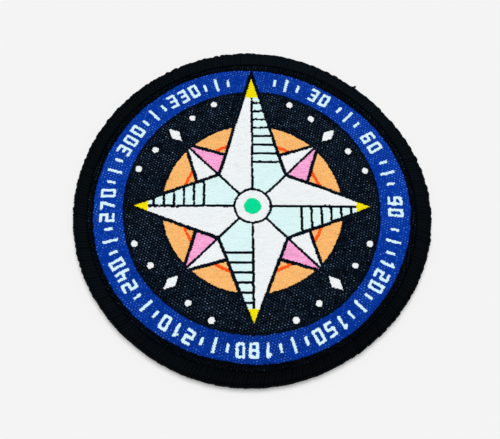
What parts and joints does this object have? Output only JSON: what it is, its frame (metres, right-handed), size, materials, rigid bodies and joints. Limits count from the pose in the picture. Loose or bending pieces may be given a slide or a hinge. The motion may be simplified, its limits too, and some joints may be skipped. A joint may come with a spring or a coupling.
{
  "type": "hook-and-loop patch",
  "caption": "Round woven patch with a compass star inside a blue numbered ring, a thick black overlocked border, and a hook tape underneath.",
  "frame": {"origin": "middle of the underside, at the hooks' tips", "axes": "+Z out of the face, +Y towards the top of the design, +X to the right of it"},
  "size_m": [0.09, 0.09, 0.0034],
  "materials": {
    "black_cloth": "satin",
    "black_thread": "satin",
    "blue_thread": "satin",
    "white_thread": "satin",
    "ice_thread": "satin",
    "yellow_thread": "satin",
    "pink_thread": "satin",
    "green_thread": "satin",
    "orange_thread": "satin",
    "red_thread": "satin",
    "hook_nylon": "satin"
  },
  "bodies": {
    "root": {"hook_rows": "hook_nylon", "hook_tape": "black_cloth", "face_cloth": "black_cloth", "merrow_border": "black_thread", "ring_band": "blue_thread", "ring_numbers": "ice_thread", "ring_ticks": "ice_thread", "star_light": "white_thread", "star_shade": "ice_thread", "star_tips": "yellow_thread", "short_light": "white_thread", "short_pink": "pink_thread", "sun_ring": "orange_thread", "sun_strokes": "red_thread", "hub_disc": "white_thread", "hub_dot": "green_thread", "field_marks": "white_thread"}
  },
  "joints": []
}
